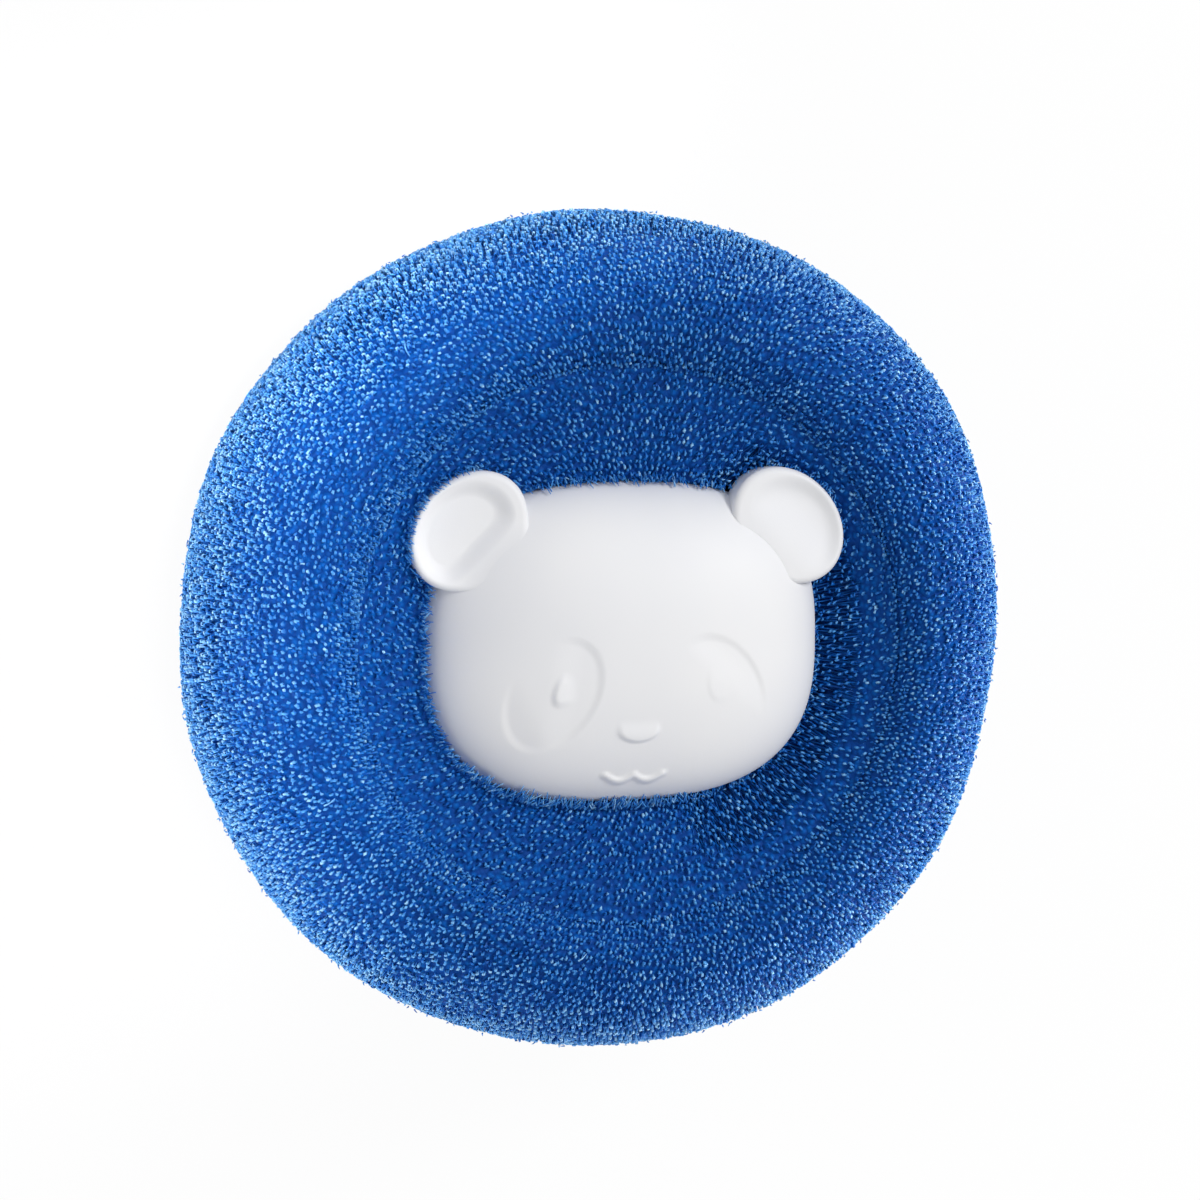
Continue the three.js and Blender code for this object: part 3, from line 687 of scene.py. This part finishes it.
def make_collar_tips(material):
    """Broken filaments at the tucked edge, which lean over the rim of the head, most of all at the chin."""
    draw = np.random.default_rng(41)
    share = draw.uniform(size=COLLAR_TIPS)
    anywhere = draw.uniform(0, 360, COLLAR_TIPS)
    at_cheek = draw.uniform(135, 225, COLLAR_TIPS)
    at_chin = draw.uniform(215, 305, COLLAR_TIPS)
    degrees = np.where(share < CHEEK_TIPS + CHIN_TIPS, at_chin, anywhere)
    phi = np.radians(np.where(share < CHEEK_TIPS, at_cheek, degrees))
    chin = smooth(np.cos(phi - np.radians(258)), 0.55, 0.9)
    s = head_outline(phi) + HUG - SEAM[0] + draw.uniform(0.0, 0.7, COLLAR_TIPS)
    outward = np.stack([np.cos(phi), np.sin(phi), 0 * phi], -1)
    around = np.stack([-np.sin(phi), np.cos(phi), 0 * phi], -1)
    lean = draw.normal(0, 0.45, COLLAR_TIPS)[:, None]
    inward = draw.uniform(0.1, 0.6, COLLAR_TIPS) + 0.25 * chin
    ways = np.array([0, 0, 0.85]) - inward[:, None] * outward + lean * around
    ways /= np.linalg.norm(ways, axis=1, keepdims=True)
    lengths = draw.uniform(0.4 - 0.1 * chin, 1.1 + 0.5 * chin)
    tones = np.clip(draw.normal(0.6, 0.2, COLLAR_TIPS) + 0.1 * chin, 0, 1)
    roots = collar_skin(phi, s) + np.array([0, 0, 0.4])
    points, faces, uv, tone = loose_ends(roots, ways, -0.3 * outward, lengths, tones)
    return make_piece("collar_loose_ends", points, faces, material, "float", uv, tone)


collar = make_collar(blue_nylon)
collar_tips = make_collar_tips(blue_nylon)
collar_backing = make_collar_backing(bpy.data.materials["shaded_nylon_loops"])
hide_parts("mesh_collar")

# Rear button
# Domed cap of the same white plastic behind the ring, whose split plug snaps into the waist of the head.
# It is turned from one profile, with a rounded edge.
CAP_RADIUS, CAP_LOW, CAP_DOME, CAP_CURVE = 14.6, 2.5, 2.2, 2.4
CAP_EDGE, CAP_ROUND = (14.9, 5.9), 1.1
CAP_PLUG = ((7.0, 7.0), (6.2, 7.2), (6.0, 18.6), (5.0, 19.4), (0.2, 19.4))


def make_rear_button(material):
    """Profile of the cap and its plug, turned round the axis."""
    out = np.linspace(0.2, CAP_RADIUS, 40)
    dome = np.stack([out, CAP_LOW + CAP_DOME * (out / CAP_RADIUS) ** CAP_CURVE], -1)
    turn = np.linspace(-0.35 * np.pi, 0.5 * np.pi, 16)
    edge = np.array(CAP_EDGE) + CAP_ROUND * np.stack([np.cos(turn), np.sin(turn)], -1)
    profile = np.concatenate([dome, edge, CAP_PLUG])
    radius, z = profile[:, :1], profile[:, 1:]
    phi = np.linspace(0, 2 * np.pi, 160, endpoint=False)[None, :]
    rows = np.stack([radius * np.cos(phi), radius * np.sin(phi), z + 0 * phi], -1)
    poles = np.stack([rows[0].mean(0), rows[-1].mean(0)])
    points, quads, fans = closed_rows(rows, poles)
    faces = [quads[:, ::-1], fans[:, ::-1]]
    return make_piece("rear_cap", points, faces, material, "float")


rear_cap = make_rear_button(satin_white)
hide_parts("rear_button")

# Floor, light and camera
# The ball lies on its back on a white sweep, in a broad tent of light with a key lamp at the upper right.
# Low strips brighten its rim, and two small lamps behind honeycomb grids its upper left.
# The camera stands over it, a little to the left, with a long lens.


def plain_rays(nodes, links):
    """1 on rays from the camera and on mirrored or passed rays, else 0."""
    path = nodes.new("ShaderNodeLightPath")
    mirrored, plain = nodes.new("ShaderNodeMath"), nodes.new("ShaderNodeMath")
    mirrored.operation = plain.operation = "MAXIMUM"
    links.new(path.outputs["Is Glossy Ray"], mirrored.inputs[0])
    links.new(path.outputs["Is Transmission Ray"], mirrored.inputs[1])
    links.new(path.outputs["Is Camera Ray"], plain.inputs[0])
    links.new(mirrored.outputs[0], plain.inputs[1])
    return plain.outputs[0]


def white_sweep():
    """White where it is seen, with a share of plain shading that keeps the ball's faint shadow."""
    material = bpy.data.materials.new("white_sweep")
    material.use_nodes = True
    nodes, links = material.node_tree.nodes, material.node_tree.links
    nodes.remove(nodes["Principled BSDF"])
    paper = nodes.new("ShaderNodeBsdfDiffuse")
    paper.inputs["Color"].default_value = (0.8, 0.8, 0.8, 1)
    glow = nodes.new("ShaderNodeEmission")
    share = nodes.new("ShaderNodeMath")
    share.operation = "MULTIPLY"
    share.inputs[1].default_value = 0.95
    links.new(plain_rays(nodes, links), share.inputs[0])
    mix = nodes.new("ShaderNodeMixShader")
    links.new(share.outputs[0], mix.inputs["Fac"])
    links.new(paper.outputs[0], mix.inputs[1])
    links.new(glow.outputs[0], mix.inputs[2])
    links.new(mix.outputs[0], nodes["Material Output"].inputs["Surface"])
    return material


floor_mesh = bpy.data.meshes.new("floor")
floor_mesh.from_pydata([(-2, -2, 0), (2, -2, 0), (2, 2, 0), (-2, 2, 0)], [], [(0, 1, 2, 3)])
floor_mesh.materials.append(white_sweep())
floor = bpy.data.objects.new("floor", floor_mesh)
bpy.context.scene.collection.objects.link(floor)

world = bpy.data.worlds.new("light_tent")
bpy.context.scene.world = world
world.use_nodes = True
tent, paths = world.node_tree.nodes, world.node_tree.links
tent["Background"].inputs["Color"].default_value = (1, 1, 1, 1)
level = tent.new("ShaderNodeMapRange")
level.inputs["From Max"].default_value = 0.8
level.inputs["To Min"].default_value = 0.95
level.inputs["To Max"].default_value = 0.445
way = tent.new("ShaderNodeTexCoord")
height = tent.new("ShaderNodeSeparateXYZ")
paths.new(way.outputs["Generated"], height.inputs[0])
paths.new(height.outputs["Z"], level.inputs["Value"])
strength = tent.new("ShaderNodeMix")
paths.new(plain_rays(tent, paths), strength.inputs["Factor"])
paths.new(level.outputs[0], strength.inputs["A"])
strength.inputs["B"].default_value = 1.0
paths.new(strength.outputs[0], tent["Background"].inputs["Strength"])


def soft_box(name, place, aim, size, power, spread=180):
    """Area lamp at a place in metres, turned to an aim; a honeycomb grid narrows its spread in degrees."""
    lamp = bpy.data.lights.new(name, "AREA")
    lamp.shape = "RECTANGLE"
    lamp.size, lamp.size_y = size
    lamp.energy = power
    lamp.spread = np.radians(spread)
    holder = bpy.data.objects.new(name, lamp)
    bpy.context.scene.collection.objects.link(holder)
    holder.location = place
    towards = Vector(aim) - holder.location
    holder.rotation_euler = towards.to_track_quat("-Z", "Y").to_euler()


soft_box("key", (0.36, 0.28, 0.53), (0, 0, 0.03), (0.18, 0.18), 2.35)
soft_box("low_fill", (0.02, -0.4, 0.3), (0, 0, 0.03), (0.2, 0.2), 0.12)
soft_box("left_strip", (-0.28, -0.05, 0.02), (0, 0, 0.02), (0.4, 0.04), 0.74)
soft_box("upper_strip", (-0.11, 0.26, 0.02), (0, 0, 0.02), (0.3, 0.04), 0.04)
soft_box("right_strip", (0.28, -0.07, 0.02), (0, 0, 0.02), (0.4, 0.04), 1.0)
soft_box("left_grid", (-0.055, 0.004, 0.14), (-0.055, 0.005, 0), (0.05, 0.12), 0.0145, spread=20)
soft_box("upper_grid", (-0.028, 0.048, 0.14), (-0.0285, 0.0488, 0), (0.09, 0.03), 0.0132, spread=20)

view_from = np.array([-0.259, 0.095, 0.961])
view_from /= np.linalg.norm(view_from)
right = np.cross([0, 1, 0], view_from)
right /= np.linalg.norm(right)
upward = np.cross(view_from, right)
aim_at = np.array([0, 0, 0.0225]) + 0.0015 * right + 0.0033 * upward
lens = bpy.data.cameras.new("camera")
lens.lens = 85
lens.sensor_width = 36
camera = bpy.data.objects.new("camera", lens)
bpy.context.scene.collection.objects.link(camera)
turn = np.eye(4)
turn[:3, 0], turn[:3, 1], turn[:3, 2] = right, upward, view_from
turn[:3, 3] = aim_at + 0.338 * view_from
camera.matrix_world = turn.T.tolist()
bpy.context.scene.camera = camera
bpy.context.scene.view_settings.view_transform = "Standard"
